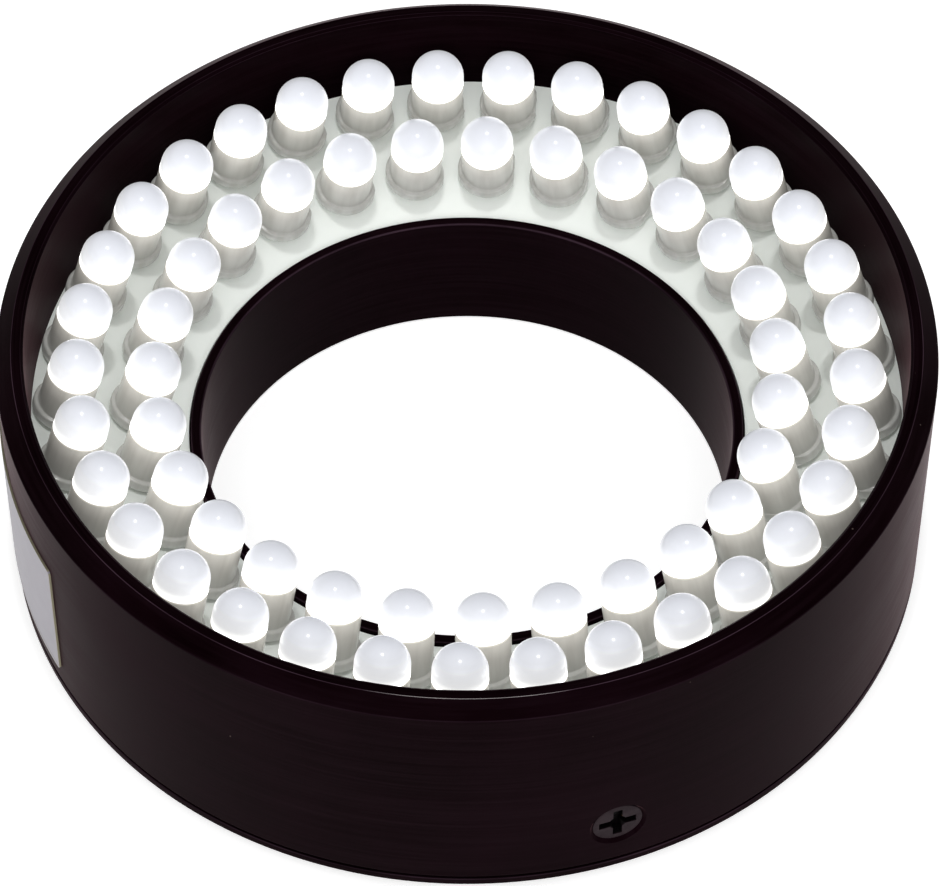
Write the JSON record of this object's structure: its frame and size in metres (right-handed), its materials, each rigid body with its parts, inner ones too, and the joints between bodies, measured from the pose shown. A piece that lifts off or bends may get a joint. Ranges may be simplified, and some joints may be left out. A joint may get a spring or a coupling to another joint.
{
  "type": "led ring light",
  "caption": "Ring light with two rows of LEDs that lean inwards on a conical board in a black housing with a clear bore.",
  "frame": {"origin": "on the bore axis, in the plane of the base plate's back face", "axes": "+Z along the bore axis towards the light side, +Y towards the power inlet in the wall"},
  "size_m": [0.086, 0.0858, 0.0268],
  "materials": {
    "black_anodised": "black dyed anodised, turned, satin",
    "support_plastic": "matte black moulded plastic",
    "insulating_film": "amber polyimide film",
    "nameplate_silver": "thin blank silver nameplate, matte",
    "blackened_steel": "blackened, dull",
    "board_mask": "white solder mask on thin laminate",
    "milky_epoxy": "milky diffused epoxy, smooth",
    "tinned_lead": "tinned, bright",
    "led_die": "phosphor coated die",
    "component_black": "moulded, matte",
    "inlet_plastic": "moulded, satin",
    "contact_metal": "nickel plated, bright",
    "zinc_plated": "zinc plated, bright",
    "wire_red": "soft insulation",
    "wire_black": "soft insulation"
  },
  "bodies": {
    "root": {"outer_housing": "black_anodised", "base_plate": "black_anodised", "bore_sleeve": "black_anodised", "board_support_ring": "support_plastic", "insulating_sheet": "insulating_film", "nameplate": "nameplate_silver", "housing_screws": "blackened_steel", "circuit_board": "board_mask", "led_anode_leads": "tinned_lead", "led_cathode_leads": "tinned_lead", "led_dies": "led_die", "polarity_diode": "component_black", "inlet_body": "inlet_plastic", "inlet_centre_pin": "contact_metal", "inlet_sleeve_contact": "contact_metal", "inlet_washer": "zinc_plated", "inlet_nut": "zinc_plated", "wire_positive": "wire_red", "wire_negative": "wire_black", "outer_led_string_01": "milky_epoxy", "outer_led_string_02": "milky_epoxy", "outer_led_string_03": "milky_epoxy", "outer_led_string_04": "milky_epoxy", "outer_led_string_05": "milky_epoxy", "outer_led_string_06": "milky_epoxy", "outer_led_string_07": "milky_epoxy", "outer_led_string_08": "milky_epoxy", "outer_led_string_09": "milky_epoxy", "outer_led_string_10": "milky_epoxy", "outer_led_string_11": "milky_epoxy", "inner_led_string_01": "milky_epoxy", "inner_led_string_02": "milky_epoxy", "inner_led_string_03": "milky_epoxy", "inner_led_string_04": "milky_epoxy", "inner_led_string_05": "milky_epoxy", "inner_led_string_06": "milky_epoxy", "inner_led_string_07": "milky_epoxy", "inner_led_string_08": "milky_epoxy", "inner_led_string_09": "milky_epoxy", "string_resistor_01": "component_black", "string_resistor_02": "component_black", "string_resistor_03": "component_black", "string_resistor_04": "component_black", "string_resistor_05": "component_black", "string_resistor_06": "component_black", "string_resistor_07": "component_black", "string_resistor_08": "component_black", "string_resistor_09": "component_black", "string_resistor_10": "component_black", "string_resistor_11": "component_black", "string_resistor_12": "component_black", "string_resistor_13": "component_black", "string_resistor_14": "component_black", "string_resistor_15": "component_black", "string_resistor_16": "component_black", "string_resistor_17": "component_black", "string_resistor_18": "component_black", "string_resistor_19": "component_black", "string_resistor_20": "component_black"}
  },
  "joints": []
}
